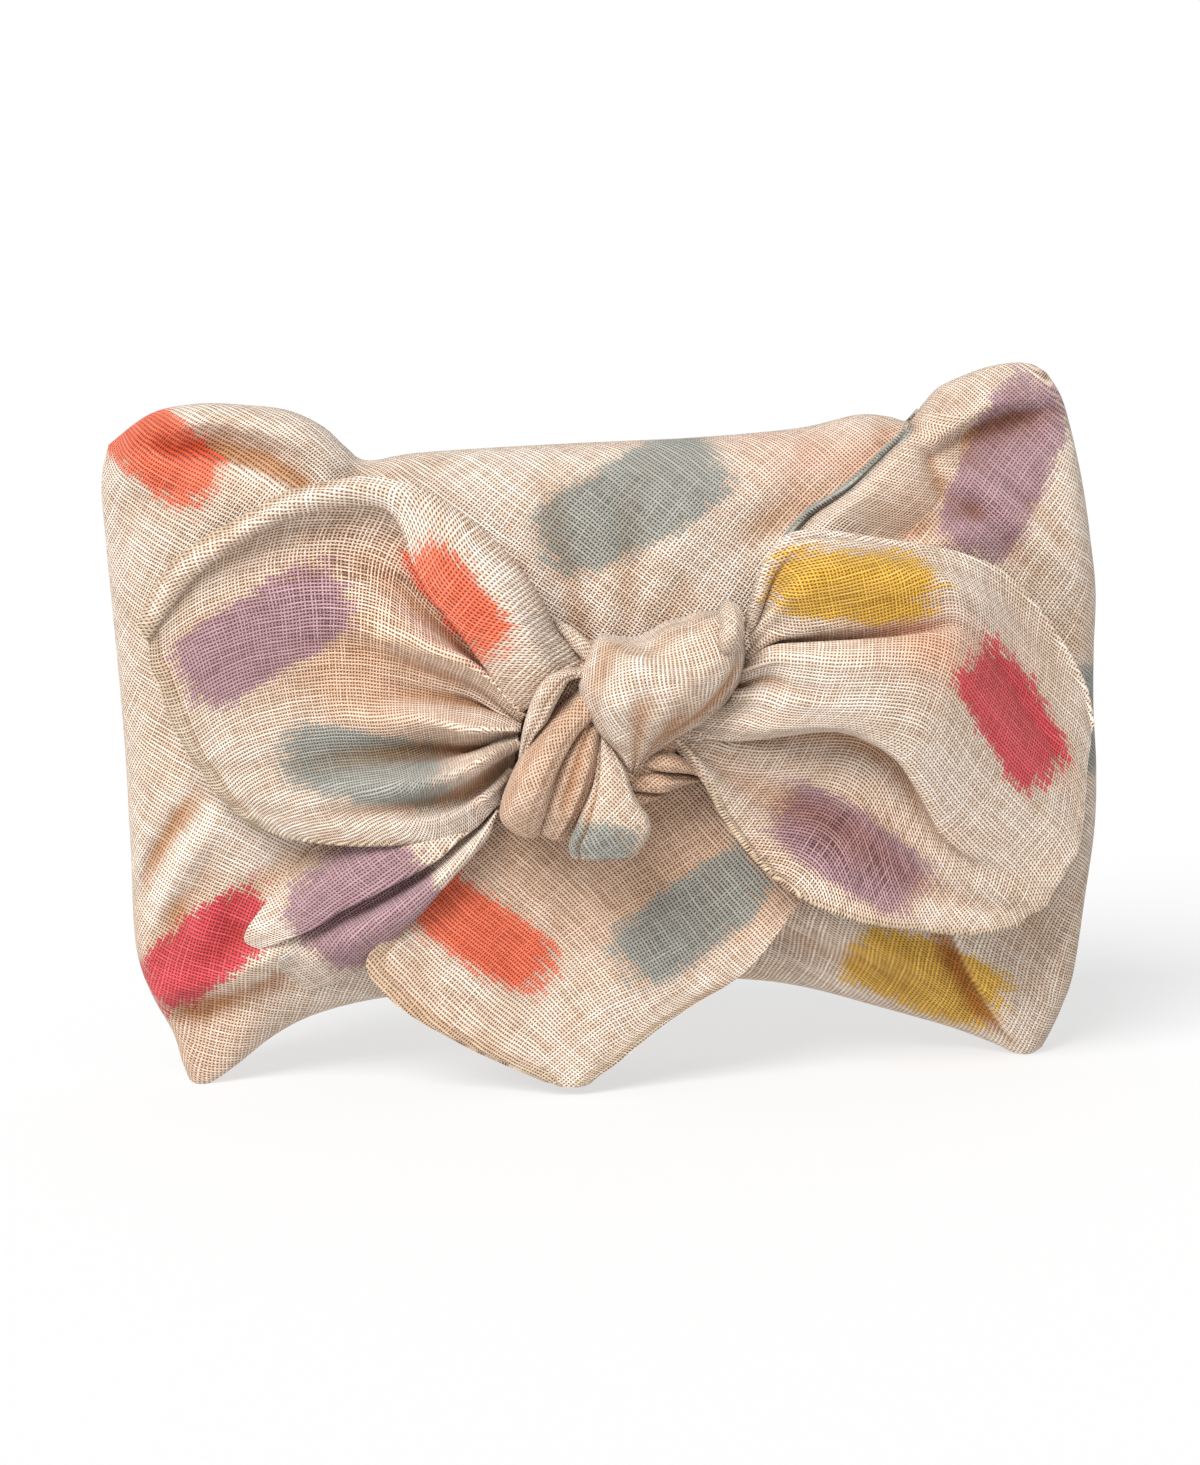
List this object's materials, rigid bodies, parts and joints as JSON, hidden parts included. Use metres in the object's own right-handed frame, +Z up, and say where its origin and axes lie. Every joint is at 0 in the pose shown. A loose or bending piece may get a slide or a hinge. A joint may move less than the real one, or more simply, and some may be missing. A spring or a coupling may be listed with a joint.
{
  "type": "furoshiki wrap",
  "caption": "Open-weave cloth wrapped round a flat parcel and knotted on its face, with leaf-shaped free ends and a hanging corner flap. It stands on its lower corners.",
  "frame": {"origin": "centre of the bounding box, on the surface that the parcel stands on", "axes": "+X to the right of someone facing the knot, +Y away from them through the parcel, +Z up"},
  "size_m": [0.256, 0.092, 0.1802],
  "materials": {
    "woven_linen": "matt, open plain weave with uneven threads"
  },
  "bodies": {
    "root": {"wrap_cloth": "woven_linen"}
  },
  "joints": []
}
